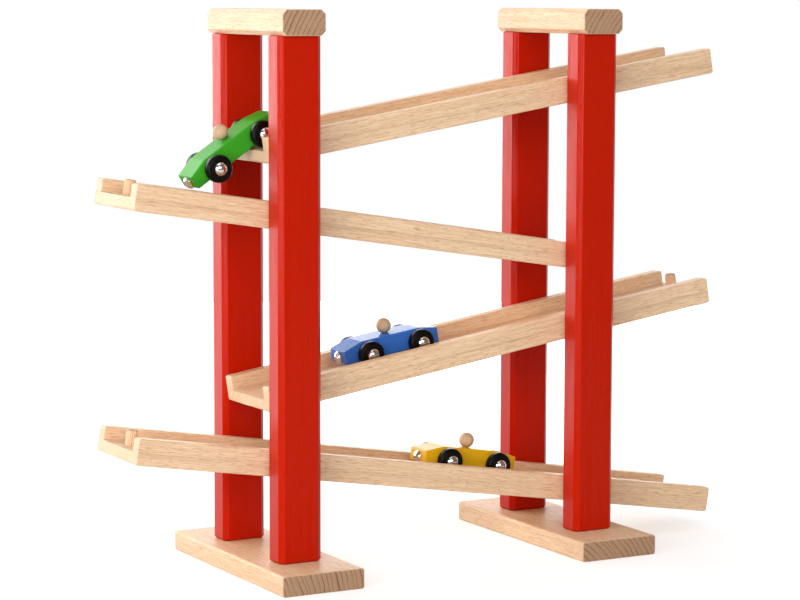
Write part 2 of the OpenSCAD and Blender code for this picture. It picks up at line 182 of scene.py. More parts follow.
class CarRunFinishes(bpy.types.PropertyGroup):
    """Colours of the woods, paints and metals."""

    beech_pale: colour("Pale beech", "Spring growth of the beech", 240, 209, 174)
    beech_tan: colour("Tan beech", "Late growth of the beech", 223, 183, 144)
    beech_fleck: colour("Beech fleck", "Short dark flecks in the beech", 178, 121, 78)
    beech_end: colour("Beech end", "End grain of the beech", 184, 147, 116)
    beech_line: colour("Beech line", "Ring lines and pores in the end grain", 126, 90, 62)
    red: colour("Red", "Paint of the posts", 189, 29, 3)
    green: colour("Green", "Paint of the green car", 60, 160, 40)
    blue: colour("Blue", "Paint of the blue car", 60, 114, 202)
    yellow: colour("Yellow", "Paint of the yellow car", 232, 178, 24)
    wheel_black: colour("Wheel black", "Stain of the wheels", 8, 7, 6)
    bright_metal: colour("Bright metal", "Plating of domes and studs", 232, 230, 226)
    steel: colour("Steel", "Axles and screws", 170, 170, 172)


class CarRunStage(bpy.types.PropertyGroup):
    """Where the camera stands and how bright the studio is."""

    azimuth: angle("Azimuth", "Turn of the camera to the left of the front", 28.845)
    elevation: angle("Elevation", "Height of the camera as an angle", 6.62)
    roll: angle("Roll", "Lean of the camera", 0.173)
    distance: length("Distance", "From the camera to the middle of the run", 1950.01)
    target_height: length("Target height", "Height of the point looked at", 200.0)
    target_right: amount(
        "Target right", "Place of that point right of the picture's middle, as a share of its width", 0.01934
    )
    target_up: amount(
        "Target up", "Place of that point above the picture's middle, as a share of its width", 0.02233
    )
    lens: amount("Lens", "Focal length on a sensor 36 mm wide", 120.493, subtype="DISTANCE_CAMERA")
    ambient: amount("Ambient", "Strength of the light from all round", 0.43)
    gloss: amount("Gloss", "Strength of the room as glossy surfaces mirror it", 0.18)
    key_power: power("Key", "Power of the soft box on the left", 22.0)
    sheen_power: power("Sheen", "Power of the panel behind on the left", 34.0)
    rear_power: power("Rear", "Power of the panel behind on the right", 22.0)
    fill_power: power("Fill", "Power of the soft box in front", 20.0)
    top_power: power("Top", "Power of the soft box overhead", 6.0)


# Outlines and surfaces


def rounded_outline(corners, radii, steps=6):
    """A closed outline, counter-clockwise, whose corners are arcs.

    An arc's centre lies at the corner's radius from both edges, inside a convex corner and outside
    a hollow one. Its points are that centre plus the radius times a unit normal, which turns evenly
    from one edge's normal to the next one's. Returns the points and their outward normals.
    """
    corners = np.asarray(corners, float)
    radii = np.broadcast_to(np.asarray(radii, float), len(corners))
    leaving = np.roll(corners, -1, axis=0) - corners
    leaving /= np.linalg.norm(leaving, axis=1, keepdims=True)
    arriving = np.roll(leaving, 1, axis=0)
    normal_in = np.stack([arriving[:, 1], -arriving[:, 0]], axis=1)
    normal_out = np.stack([leaving[:, 1], -leaving[:, 0]], axis=1)
    cross = arriving[:, 0] * leaving[:, 1] - arriving[:, 1] * leaving[:, 0]
    turn = np.arctan2(cross, (arriving * leaving).sum(axis=1))
    bulge = np.sign(turn) * radii
    start = np.arctan2(normal_in[:, 1], normal_in[:, 0])
    bearing = start[:, None] + turn[:, None] * np.linspace(0, 1, steps + 1)
    normals = np.stack([np.cos(bearing), np.sin(bearing)], axis=-1)
    opening = 1 + (normal_in * normal_out).sum(axis=1)
    centres = corners - (bulge / opening)[:, None] * (normal_in + normal_out)
    points = centres[:, None] + bulge[:, None, None] * normals
    return points.reshape(-1, 2), normals.reshape(-1, 2)


def rectangle(width, height):
    """The corners of a rectangle about the origin, counter-clockwise."""
    return np.array([[-1, -1], [1, -1], [1, 1], [-1, 1]]) * (width / 2, height / 2)


def chamfered_rectangle(width, height, chamfer):
    """The eight corners of a rectangle whose own corners are cut at 45 degrees.

    Each own corner is taken twice, moved by the chamfer along one of its edges or the other.
    """
    moves = np.array([[1, 0], [-1, 0], [0, 1], [0, -1], [-1, 0], [1, 0], [0, -1], [0, 1]])
    return rectangle(width, height)[[0, 1, 1, 2, 2, 3, 3, 0]] + chamfer * moves


def ring_quads(rows, columns, closed=False):
    """The corners of each face between neighbouring rows of a grid that closes round its columns."""
    row = np.arange(rows if closed else rows - 1)[:, None]
    here, there = row * columns, (row + 1) % rows * columns
    column = np.arange(columns)
    beside = (column + 1) % columns
    corners = [here + column, here + beside, there + beside, there + column]
    return np.stack(corners, axis=-1).reshape(-1, 4)


def round_end(radius, steps=5):
    """Rows of a quarter-round end, from the side to the end: setback, inset and lean of each."""
    lean = np.linspace(0, math.pi / 2, steps + 1)
    return np.stack([radius * (1 - np.sin(lean)), radius * (1 - np.cos(lean)), lean], axis=1)


def chamfered_end(size, soft=0.14):
    """Rows of a 45-degree end whose two edges are softened over a share of the chamfer."""
    half = math.pi / 4
    rows = [[1 + soft, 0, 0], [1 - soft, soft, half], [soft, 1 - soft, half], [0, 1 + soft, 2 * half]]
    return np.array(rows) * (size, size, 1)


def stacked(along, across):
    """A list of points, or normals, from their values along an axis and their pairs across it."""
    first = np.broadcast_to(along[..., None], across.shape[:2] + (1,))
    return np.concatenate([first, across], axis=-1).reshape(-1, 3)


def circle(steps):
    """Turns about an axis, and the cosine and sine of each."""
    turn = np.linspace(0, 2 * math.pi, steps, endpoint=False)
    return turn, np.stack([np.cos(turn), np.sin(turn)], axis=1)


def skinned(along, across, tilt, spread):
    """Rows of a closed outline joined into a skin, with a face at either end.

    A point of a row has its place along the axis and its place across it, and its normal has a tilt
    along the axis and a spread across it.
    """
    rows, columns = across.shape[:2]
    faces = ring_quads(rows, columns).tolist()
    last = (rows - 1) * columns
    faces += [list(range(columns))[::-1], list(range(last, last + columns))]
    return stacked(along, across), stacked(tilt, spread), faces


def carried_along(corners, radii, span, low_rows, high_rows):
    """A rounded outline carried along an axis, from minus to plus half the span, with eased ends.

    A row near an end stays back from it by its setback, and is drawn in along the outline's normals
    by its inset; its own normal leans towards the axis by its third value.
    """
    outline, normals = rounded_outline(corners, radii)
    sides = np.concatenate([-np.ones(len(low_rows)), np.ones(len(high_rows))])[:, None]
    setback, inset, lean = np.concatenate([low_rows[::-1], high_rows]).T[..., None]
    across = outline - inset[..., None] * normals
    spread = np.cos(lean)[..., None] * normals
    return skinned(sides * (span / 2 - setback), across, sides * np.sin(lean), spread)


def turned(profile, normals, steps, ring=False):
    """A profile of radius and height turned about the height's axis.

    A point at turn t is the height, then the radius times the cosine and sine of t. A ring's profile
    closes on itself; any other has its first and last points on the axis, and closes there.
    """
    _, round_the_axis = circle(steps)
    body = slice(None) if ring else slice(1, -1)
    points, leaning = (
        stacked(values[body, [1]], values[body, [0]][..., None] * round_the_axis)
        for values in (profile, normals)
    )
    faces = ring_quads(len(points) // steps, steps, closed=ring).tolist()
    if ring:
        return points, leaning, faces
    here = np.arange(steps)
    beside = (here + 1) % steps
    low, high = len(points), len(points) + 1
    last = len(points) - steps
    under = np.stack([np.full(steps, low), beside, here], axis=1)
    over = np.stack([np.full(steps, high), last + here, last + beside], axis=1)
    faces += under.tolist() + over.tolist()
    poles = profile[[0, -1], 1][:, None] * X_AXIS
    return np.concatenate([points, poles]), np.concatenate([leaning, [-X_AXIS, X_AXIS]]), faces


def joined(shapes):
    """Several shapes as one: their points and normals in a row, their faces counted on."""
    starts = np.cumsum([0] + [len(points) for points, _, _ in shapes[:-1]])
    faces = [
        [int(start) + corner for corner in face]
        for start, shape in zip(starts, shapes)
        for face in shape[2]
    ]
    return np.concatenate([s[0] for s in shapes]), np.concatenate([s[1] for s in shapes]), faces


def placed(shape, origin, axes):
    """A shape moved from its own axes, one per row, to its place in the run."""
    points, normals, faces = shape
    axes = np.asarray(axes)
    return points @ axes + np.asarray(origin), normals @ axes, faces


def new_object(name, data):
    """An object that shows some data, linked to the scene."""
    made = bpy.data.objects.new(name, data)
    bpy.context.scene.collection.objects.link(made)
    return made


def make_piece(node, word, shape, material, body, grain=None, end_share=None):
    """Puts a shape in a mesh with its normals, and hangs it on its body in place of its node.

    The piece is named after the node, with a word more. The grain is a place in the timber for each
    point, with X along the fibres, and the end share says how far a point's surface cuts across them.
    """
    name = f"{node}_{word}"
    points, normals, faces = shape
    mesh = bpy.data.meshes.new(name)
    mesh.from_pydata(points, [], faces)
    mesh.polygons.foreach_set("use_smooth", np.ones(len(faces), bool))
    mesh.normals_split_custom_set_from_vertices(normals)
    attributes = (("grain", "FLOAT_VECTOR", "vector", grain), ("end_grain", "FLOAT", "value", end_share))
    for title, kind, key, values in attributes:
        if values is not None:
            attribute = mesh.attributes.new(title, kind, "POINT")
            attribute.data.foreach_set(key, np.asarray(values, np.float32).ravel())
    mesh.materials.append(material)
    piece = new_object(name, mesh)
    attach(piece, body)
    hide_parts(node)


def make_timber(node, word, shape, origin, axes, material, body, pith, fibres=0, ends=1.0):
    """A piece cut from timber: its grain is its own place less the pith's, with the fibres first."""
    order = np.roll(np.arange(3), -fibres)
    points, normals, _ = shape
    grain = (points - np.asarray(pith) * MM)[:, order]
    end_share = ends * normals[:, fibres] ** 2
    make_piece(node, word, placed(shape, origin, axes), material, body, grain, end_share)


def box_of(node):
    """A node's middle and its size along X, Y and Z."""
    low, high = (np.array(corner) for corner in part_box(node))
    return (low + high) / 2, high - low


def car_axes(car):
    """The middles of a car's axles, and its directions across to the front, back to the tail and up."""
    front, rear = (
        sum(box_of(f"{car}_car_{axle}_{side}_wheel")[0] for side in SIDES) / 2 for axle in AXLES
    )
    tailward = (rear - front) / np.linalg.norm(rear - front)
    return front, rear, (-Y_AXIS, tailward, np.cross(tailward, Y_AXIS))


# Finishes


class NodeTree:
    """Adds nodes to a tree; an input takes a value or another node's output."""

    def __init__(self, tree):
        self.tree = tree

    def add(self, kind, inputs=None, **settings):
        node = self.tree.nodes.new(kind)
        for name, value in settings.items():
            setattr(node, name, value)
        self.give(node, inputs or {})
        return node

    def give(self, node, inputs):
        for key, value in inputs.items():
            if isinstance(value, bpy.types.NodeSocket):
                self.tree.links.new(value, node.inputs[key])
            else:
                node.inputs[key].default_value = value

    def math(self, operation, *values, clamp=False):
        inputs = dict(enumerate(values))
        return self.add("ShaderNodeMath", inputs, operation=operation, use_clamp=clamp).outputs[0]

    def times(self, value, factor, *more):
        """A value times a factor, plus another value where one is given."""
        return self.math("MULTIPLY_ADD" if more else "MULTIPLY", value, factor, *more)

    def vector(self, operation, output, *values):
        return self.add("ShaderNodeVectorMath", dict(enumerate(values)), operation=operation).outputs[output]

    def stretched(self, place, scale):
        """A place with each direction scaled by its own amount."""
        return self.vector("MULTIPLY", "Vector", place, scale)

    def noise(self, place, scale, detail=2.0, roughness=0.5):
        """Noise in a place with each direction scaled by its own amount."""
        place = self.stretched(place, scale)
        inputs = {"Vector": place, "Scale": 1.0, "Detail": detail, "Roughness": roughness}
        return self.add("ShaderNodeTexNoise", inputs).outputs["Fac"]

    def rise(self, value, start, stop, low=0.0, high=1.0):
        """A smooth step from low to high while the value goes from start to stop."""
        inputs = {"Value": value, "From Min": start, "From Max": stop, "To Min": low, "To Max": high}
        return self.add("ShaderNodeMapRange", inputs, interpolation_type="SMOOTHSTEP").outputs["Result"]

    def blend(self, share, first, second):
        """A colour mixed from two, with a share of the second."""
        return self.add("ShaderNodeMix", {0: share, 6: first, 7: second}, data_type="RGBA").outputs[2]


VECTOR, COLOUR, VALUE = "NodeSocketVector", "NodeSocketColor", "NodeSocketFloat"
SURFACE_OUTPUTS = {"Color": COLOUR, "Roughness": VALUE, "Height": VALUE}
# The colours of the beech: its sides, then its end grain and the lines in it
BEECH_TONES = ("Pale", "Tan", "Fleck", "End", "Line")


def new_group(name, inputs, outputs):
    """A shader node group with named sockets; returns it, its tree, its inputs and its output node."""
    group = bpy.data.node_groups.new(name, "ShaderNodeTree")
    for in_out, sockets in (("INPUT", inputs), ("OUTPUT", outputs)):
        for socket, kind in sockets.items():
            group.interface.new_socket(name=socket, in_out=in_out, socket_type=kind)
    tree = NodeTree(group)
    return group, tree, tree.add("NodeGroupInput").outputs, tree.add("NodeGroupOutput")


def beech_group():
    """Beech: growth rings about a pith along X, wavy fibres, short flecks and darker end grain.

    A ring is the distance from the pith, moved by a slow wander, over the ring width, which changes
    from year to year; its last part is a thin dark line. Fibres and flecks are noise drawn out
    along X.
    """
    inputs = {"Place": VECTOR, "Cut Across": VALUE, "Ring Width": VALUE, **dict.fromkeys(BEECH_TONES, COLOUR)}
    group, tree, given, sink = new_group("Beech grain", inputs, SURFACE_OUTPUTS)
    straight = tree.stretched(given["Place"], IN_MILLIMETRES)
    drift = tree.stretched(straight, (0.02, 0.06, 0.06))
    wave = tree.add("ShaderNodeTexNoise", {"Vector": drift, "Scale": 1.0})
    sway = tree.stretched(wave.outputs["Color"], (0, 2.4, 2.4))
    place = tree.vector("ADD", "Vector", straight, sway)
    reach = tree.vector("LENGTH", "Value", tree.stretched(place, (0, 1, 1)))
    reach = tree.times(tree.noise(straight, (0.05, 0.45, 0.45)), 0.9, reach)
    year = tree.add("ShaderNodeCombineXYZ", {0: reach}).outputs[0]
    reach = tree.times(tree.noise(year, (0.13, 0, 0), detail=1), 7.0, reach)
    ring = tree.math("FRACT", tree.math("DIVIDE", reach, given["Ring Width"]))
    line = tree.times(tree.rise(ring, 0.72, 0.93), tree.rise(ring, 1.0, 0.95))
    late = tree.rise(ring, 0.1, 1.0)
    fibre = tree.noise(place, (0.032, 1.1, 1.1), detail=4, roughness=0.65)
    cloud = tree.noise(place, (0.006, 0.05, 0.05), detail=1)
    fleck = tree.rise(tree.noise(place, (0.13, 2.4, 2.4)), 0.57, 0.63)
    sides = tree.math("SUBTRACT", 1.0, given["Cut Across"], clamp=True)
    pores = tree.noise(straight, (0.2, 1.9, 1.9), detail=3, roughness=0.6)
    patch = tree.noise(straight, (0.01, 0.07, 0.11), detail=1)
    bold = tree.rise(patch, 0.38, 0.6, 0.25, 0.75)

    tone = tree.times(late, 0.2, tree.times(tree.rise(fibre, 0.34, 0.66), 0.75))
    tone = tree.math("ADD", tone, tree.times(cloud, 0.7, -0.35), clamp=True)
    wood = tree.blend(tone, given["Pale"], given["Tan"])
    wood = tree.blend(tree.times(tree.times(fleck, sides), 0.5), wood, given["Fleck"])
    marks = tree.times(late, 0.16, tree.times(line, bold))
    marks = tree.times(tree.rise(pores, 0.44, 0.7), 0.5, marks)
    end = tree.blend(marks, given["End"], given["Line"])
    rough = tree.times(given["Cut Across"], 0.12, tree.times(fibre, 0.14, 0.4))
    height = tree.math("SUBTRACT", fibre, tree.times(fleck, 0.3))
    colour_out = tree.blend(given["Cut Across"], wood, end)
    tree.give(sink, {"Color": colour_out, "Roughness": rough, "Height": height})
    return group


def paint_group():
    """Paint on wood: fibres that show through along X, a fine sprayed grain and broad unevenness.

    The varnish over it stands on the high fibres and grains, and is thin between them.
    """
    group, tree, given, sink = new_group(
        "Paint on wood",
        {"Place": VECTOR, "Paint": COLOUR, "Worn": COLOUR, "Gloss": VALUE, "Varnish": VALUE},
        {**SURFACE_OUTPUTS, "Coat": VALUE},
    )
    place = tree.stretched(given["Place"], IN_MILLIMETRES)
    streak = tree.noise(place, (0.012, 1.3, 1.3), detail=4, roughness=0.6)
    grain = tree.noise(place, (0.5, 1.2, 1.2), detail=3, roughness=0.6)
    broad = tree.noise(place, (0.012, 0.03, 0.03))
    tone = tree.times(tree.rise(streak, 0.3, 0.7), 0.5, tree.times(broad, 0.5))
    paint = tree.blend(tree.times(tone, 0.35), given["Paint"], given["Worn"])
    rough = tree.math("SUBTRACT", 0.62, tree.times(given["Gloss"], 0.4))
    rough = tree.times(grain, 0.14, rough)
    height = tree.times(streak, 0.6, tree.times(grain, 0.4))
    coat = tree.times(tree.rise(height, 0.44, 0.56), given["Varnish"])
    tree.give(sink, {"Color": paint, "Roughness": rough, "Height": height, "Coat": coat})
    return group


def scuff_group():
    """Handled surfaces: cloudy rubbing and fine scratches, as another colour and a rougher face."""
    group, tree, given, sink = new_group(
        "Scuffs",
        {"Place": VECTOR, "Clean": COLOUR, "Rubbed": COLOUR, "Smooth": VALUE, "Rough": VALUE},
        SURFACE_OUTPUTS,
    )
    place = tree.stretched(given["Place"], IN_MILLIMETRES)
    cloud = tree.noise(place, (0.22, 0.22, 0.22), detail=3)
    scratch = tree.noise(place, (0.1, 1.3, 0.9), detail=3, roughness=0.7)
    rub = tree.times(tree.rise(cloud, 0.35, 0.7), tree.rise(scratch, 0.35, 0.65))
    spread = tree.math("SUBTRACT", given["Rough"], given["Smooth"])
    rough = tree.times(rub, spread, given["Smooth"])
    rubbed = tree.blend(rub, given["Clean"], given["Rubbed"])
    tree.give(sink, {"Color": rubbed, "Roughness": rough, "Height": scratch})
    return group


def shared_group(name, make):
    """The node group of a name, made on its first use."""
    return bpy.data.node_groups.get(name) or make()


def new_material(name, shader):
    """A material whose shader has some values set; returns it, its tree and the shader's node."""
    material = bpy.data.materials.new(name)
    material.use_nodes = True
    tree = NodeTree(material.node_tree)
    bsdf = next(node for node in tree.tree.nodes if node.type == "BSDF_PRINCIPLED")
    tree.give(bsdf, shader)
    return material, tree, bsdf


def surfaced(name, group, values, bump, shader, place=None):
    """The material of a name, made on its first use.

    Its colour, roughness and bump come from a group, and the shader's other values are given.
    """
    known = bpy.data.materials.get(name)
    if known:
        return known
    material, tree, bsdf = new_material(name, shader)
    inputs = {key: (*value, 1.0) if isinstance(value, tuple) else value for key, value in values.items()}
    effect = tree.add("ShaderNodeGroup", inputs, node_tree=group)
    if place is None:
        source = tree.add("ShaderNodeAttribute", attribute_name="grain").outputs["Vector"]
        if "Cut Across" in effect.inputs:
            end = tree.add("ShaderNodeAttribute", attribute_name="end_grain").outputs["Fac"]
            tree.give(effect, {"Cut Across": end})
    else:
        source = tree.add("ShaderNodeTexCoord").outputs["Object"]
        source = tree.add("ShaderNodeMapping", {"Vector": source, "Rotation": place}).outputs["Vector"]
    tree.give(effect, {"Place": source})
    made = effect.outputs
    strength, distance = bump
    inputs = {"Height": made["Height"], "Strength": strength, "Distance": distance}
    normal = tree.add("ShaderNodeBump", inputs).outputs["Normal"]
    tree.give(bsdf, {"Base Color": made["Color"], "Roughness": made["Roughness"], "Normal": normal})
    if "Coat" in made:
        tree.give(bsdf, {"Coat Weight": made["Coat"]})
    return material


def finishes():
    """The colours as they are set in the sidebar."""
    return bpy.context.scene.car_run_finishes


def shade(colour_value, share):
    """A colour made darker, or lighter above one, by a share."""
    return tuple(min(1.0, channel * share) for channel in colour_value)


def beech(name="Beech", ring_width=3.6, depth=1.0, place=None):
    """Sanded beech with a thin matt varnish; a depth below one makes it darker."""
    paints = finishes()
    values = {tone: shade(getattr(paints, f"beech_{tone.lower()}"), depth) for tone in BEECH_TONES}
    values["Ring Width"] = ring_width
    group = shared_group("Beech grain", beech_group)
    return surfaced(name, group, values, (0.3, 0.15 * MM), {"Specular IOR Level": 0.25}, place)


def painted(name, paint, gloss, worn, relief, specular, varnish):
    """A painted wooden piece whose fibres stand up by the relief, in millimetres, under a varnish.

    The paint's own gloss has its hue seen straight on, and is white along the surface.
    """
    values = {"Paint": tuple(paint), "Worn": shade(paint, worn), "Gloss": gloss, "Varnish": varnish}
    group = shared_group("Paint on wood", paint_group)
    hue = (*shade(paint, 1 / max(paint)), 1.0)
    shader = {"Specular IOR Level": specular, "Specular Tint": hue, "Coat Roughness": 0.2, "Coat IOR": 1.3}
    return surfaced(name, group, values, (0.8, relief * MM), shader)


def scuffed(name, clean, rubbed, smooth, rough, shader, place=None, relief=0.05):
    """A black wheel or a metal piece, handled a little, with marks as deep as the relief in millimetres."""
    values = {"Clean": tuple(clean), "Rubbed": shade(clean, rubbed), "Smooth": smooth, "Rough": rough}
    group = shared_group("Scuffs", scuff_group)
    return surfaced(name, group, values, (0.3, relief * MM), shader, place)


def metal(name, clean, rubbed, smooth, rough):
    """Bare or plated metal, marked in the object's own directions."""
    return scuffed(name, clean, rubbed, smooth, rough, {"Metallic": 1.0}, place=(0, 0, 0))


def bright_metal():
    return metal("Bright plating", finishes().bright_metal, rubbed=0.8, smooth=0.06, rough=0.16)


def steel():
    return metal("Steel", finishes().steel, rubbed=0.7, smooth=0.25, rough=0.45)


# Operators: one for each group of like pieces


class CARRUN_OT_planks(bpy.types.Operator):
    """Make the feet under the towers and the caps on them"""

    bl_idname = "car_run.planks"
    bl_label = "Feet and caps"

    def execute(self, context):
        sizes = context.scene.car_run_wood
        for index, tower in enumerate(TOWERS):
            # The caps' rings slant on their ends; one foot's stand almost upright, the other's lean
            self.plank(f"{tower}_cap", sizes.cap_chamfer, sizes, (170 * index, -46 - 9 * index, 88))
            self.plank(f"{tower}_foot", 0, sizes, (90 * index, -26 - 30 * index, -92 + 24 * index))
        return {"FINISHED"}

    def plank(self, node, chamfer, sizes, pith):
        middle, (width, span, thickness) = box_of(node)
        if chamfer:
            corners, radius = chamfered_rectangle(thickness, width, chamfer), sizes.edge_ease * 2
        else:
            corners, radius = rectangle(thickness, width), sizes.foot_edge
        end = round_end(sizes.plank_end)
        shape = carried_along(corners, radius, span, end, end)
        axes = (Y_AXIS, Z_AXIS, X_AXIS)
        make_timber(node, "beech", shape, middle, axes, beech(), "frame", pith)


class CARRUN_OT_posts(bpy.types.Operator):
    """Make the four red posts with their chamfered edges and ends"""

    bl_idname = "car_run.posts"
    bl_label = "Red posts"

    def execute(self, context):
        sizes = context.scene.car_run_wood
        red = painted(
            "Red post paint", finishes().red, gloss=0.7, worn=0.85, relief=0.5, specular=0.24, varnish=0.5
        )
        ends = chamfered_end(sizes.post_foot_chamfer), chamfered_end(sizes.post_top_chamfer)
        axes = (Z_AXIS, X_AXIS, Y_AXIS)
        for tower, row in product(TOWERS, ROWS):
            node = f"{tower}_{row}_post"
            middle, (width, depth, span) = box_of(node)
            corners = chamfered_rectangle(width, depth, sizes.post_chamfer)
            shape = carried_along(corners, sizes.edge_ease * 2, span, *ends)
            pith = (middle[0] / MM, middle[1] / MM, 60)
            make_timber(node, "painted", shape, middle, axes, red, "frame", pith)
        return {"FINISHED"}


class CARRUN_OT_tracks(bpy.types.Operator):
    """Make the four grooved tracks"""

    bl_idname = "car_run.tracks"
    bl_label = "Tracks"

    def execute(self, context):
        sizes = context.scene.car_run_wood
        for index, node in enumerate(TRACKS):
            middle, axes, (span, width, height) = track_place(node, sizes)
            shape = self.grooved(span, width, height, sizes)
            pith = (137 * index, 12 - 11 * index, -52 - 5 * index)
            # The tracks' ends keep the paler side-grain colour and get no darker end grain: a painted
            # highlight for their lit ends
            make_timber(node, "beech", shape, middle, axes, beech(), "frame", pith, ends=0.0)
        return {"FINISHED"}

    def grooved(self, span, width, height, sizes):
        """A trough's section carried along the track between two rounded ends.

        Seen from the side an end is a quarter circle at top and bottom: at a lean, a row stays back
        by the radius times one minus the sine, and no higher than the edge less the radius times one
        minus the cosine. The rim of the end is eased as well.
        """
        wall, floor = width / 2 - sizes.track_wall, sizes.track_floor - height / 2
        side, top = width / 2, height / 2
        corners = [
            [-side, -top], [0, -top], [side, -top], [side, 0], [side, top], [wall, top],
            [wall, floor], [-wall, floor], [-wall, top], [-side, top], [-side, 0],
        ]
        outer, inner = sizes.track_edge, sizes.edge_ease
        radii = [outer, inner, outer, inner, outer, outer * 0.7, inner, inner, outer * 0.7, outer, inner]
        outline, normals = rounded_outline(corners, radii)
        lean = np.linspace(0, math.pi / 2, 10)[:, None]
        setback = sizes.track_end * (1 - np.sin(lean))
        level = top - sizes.track_end * (1 - np.cos(lean))
        eased = np.clip(1 - setback / inner, 0, 1)
        upright = np.sqrt(1 - eased**2)
        across = outline - (inner * (1 - upright))[..., None] * normals
        height_across = across[..., 1]
        cut = np.abs(height_across) > level
        rolled = np.sign(height_across) * np.cos(lean)
        rounded = np.stack([0 * rolled, rolled], axis=-1)
        spread = np.where(cut[..., None], rounded, upright[..., None] * normals)
        tilt = np.where(cut, np.sin(lean), eased)
        across = np.stack([across[..., 0], np.clip(height_across, -level, level)], axis=-1)
        along = np.broadcast_to(span / 2 - setback, cut.shape)
        ends = ((-along, along), (across, across), (-tilt, tilt), (spread, spread))
        return skinned(*(np.concatenate([low[::-1], high]) for low, high in ends))


def track_place(node, sizes):
    """A track's middle, its axes along, across and up, and its length, width and height.

    A bar of length L and height H, turned by the slope, fills a box of L times the cosine plus H
    times the sine by L times the sine plus H times the cosine; its rounded ends count apart.
    """
    slope = sizes.track_slope
    cosine, sine = math.cos(slope), math.sin(slope)
    middle, (box_length, width, box_height) = box_of(node)
    long_side, tall_side = box_length - 2 * sizes.track_end, box_height - 2 * sizes.track_end
    span = (long_side * cosine - tall_side * sine) / math.cos(2 * slope) + 2 * sizes.track_end
    height = (tall_side * cosine - long_side * sine) / math.cos(2 * slope) + 2 * sizes.track_end
    climb = TRACKS[node]
    along = np.array([cosine, 0, climb * sine])
    return middle, (along, Y_AXIS, np.cross(along, Y_AXIS)), (span, width, height)


class CARRUN_OT_stops(bpy.types.Operator):
    """Make the fluted pins at the high ends"""

    bl_idname = "car_run.stops"
    bl_label = "Fluted stops"

    def execute(self, context):
        sizes = context.scene.car_run_wood
        pin = beech("Pin beech", ring_width=1.6)
        for index, track in enumerate(STOPPED_TRACKS):
            middle, (along, across, up), (span, _, height) = track_place(track, sizes)
            reach = TRACKS[track] * (span / 2 - sizes.stop_setback)
            foot = middle + reach * along + (sizes.track_floor - height / 2) * up
            axes, pith = (up, along, across), (90 * index, 5 + 3 * index, -4)
            make_timber(f"{track}_stop", "beech", self.fluted(sizes), foot, axes, pin, "frame", pith)
        return {"FINISHED"}

    def fluted(self, sizes, steps=6):
        """A pin whose radius dips by the flute's depth as a cosine to the fourth power of the turn."""
        turn, round_the_axis = circle(sizes.stop_flutes * steps)
        dip = sizes.flute_depth * np.cos(sizes.stop_flutes * turn / 2) ** 4
        radius, chamfer, rise = sizes.stop_diameter / 2, sizes.stop_chamfer, sizes.stop_rise
        heights = np.array([-STOP_SUNK, rise - chamfer, rise - chamfer / 2, rise])[:, None]
        inset = np.array([0, 0, chamfer * 0.3, chamfer])[:, None]
        across = (radius - dip - inset)[..., None] * round_the_axis
        slant = np.array([0, 0, 0.4, 1])[:, None]
        swing = -np.gradient(dip, turn) / radius
        flat = np.stack([np.cos(turn) + swing * np.sin(turn), np.sin(turn) - swing * np.cos(turn)], axis=-1)
        flat = flat / np.linalg.norm(flat, axis=-1, keepdims=True) * np.sqrt(1 - slant**2)[..., None]
        return skinned(heights, across, slant, flat)


class CARRUN_OT_bodies(bpy.types.Operator):
    """Make the cars' painted bodies"""

    bl_idname = "car_run.bodies"
    bl_label = "Car bodies"

    def execute(self, context):
        sizes = context.scene.car_run_cars
        for index, car in enumerate(CARS):
            node = f"{car}_car_body"
            _, (_, width, _) = box_of(node)
            front, rear, axes = car_axes(car)
            wheelbase = np.linalg.norm(front - rear)
            nose, tail, roof = -wheelbase - sizes.nose, sizes.tail, sizes.roof_rise
            corners = [
                [nose, -sizes.belly_drop],
                [tail, -sizes.belly_drop],
                [tail, roof - sizes.tail_drop],
                [tail - sizes.tail_length, roof],
                [nose + sizes.hood_length, roof],
                [nose, roof - sizes.hood_drop],
            ]
            edge = round_end(sizes.body_edge)
            shape = carried_along(corners, sizes.body_edge, width, edge, edge)
            # The green car's paint shows the least gloss
            specular, varnish = (0.15, 0.05) if car == "green" else (0.3, 0.5)
            paint = painted(
                f"{car.title()} car paint", getattr(finishes(), car),
                gloss=0.8, worn=0.72, relief=0.4, specular=specular, varnish=varnish,
            )
            pith = (40, 35 * index, -30)
            make_timber(
                node, "painted", shape, rear, axes, paint, f"{car}_car", pith, fibres=1
            )
        return {"FINISHED"}


class CARRUN_OT_drivers(bpy.types.Operator):
    """Make the drivers' ball heads"""

    bl_idname = "car_run.drivers"
    bl_label = "Drivers"

    def execute(self, context):
        sizes = context.scene.car_run_cars
        head = beech("Head beech", ring_width=2.4, depth=0.78)
        for index, car in enumerate(CARS):
            front, _, (across, tailward, up) = car_axes(car)
            seat = front + sizes.driver_setback * tailward + sizes.roof_rise * up
            axes, pith = (up, tailward, -across), (30 * index, 7 + 2 * index, 5)
            make_timber(
                f"{car}_car_driver", "head", self.ball(sizes), seat, axes, head, f"{car}_car", pith,
                ends=0.3,
            )
        return {"FINISHED"}

    def ball(self, sizes, steps=28):
        """A ball cut flat below: radius times sine and cosine of an angle from the flat to the top."""
        radius = sizes.head_diameter / 2
        centre = radius - sizes.head_flat
        rise = np.linspace(-math.asin(centre / radius), math.pi / 2, steps)
        profile = np.stack([radius * np.cos(rise), centre + radius * np.sin(rise)], axis=1)
        normals = np.stack([np.cos(rise), np.sin(rise)], axis=1)
        profile = np.concatenate([[[0, 0]], profile])
        return turned(profile, np.concatenate([[[0, -1]], normals]), 56)


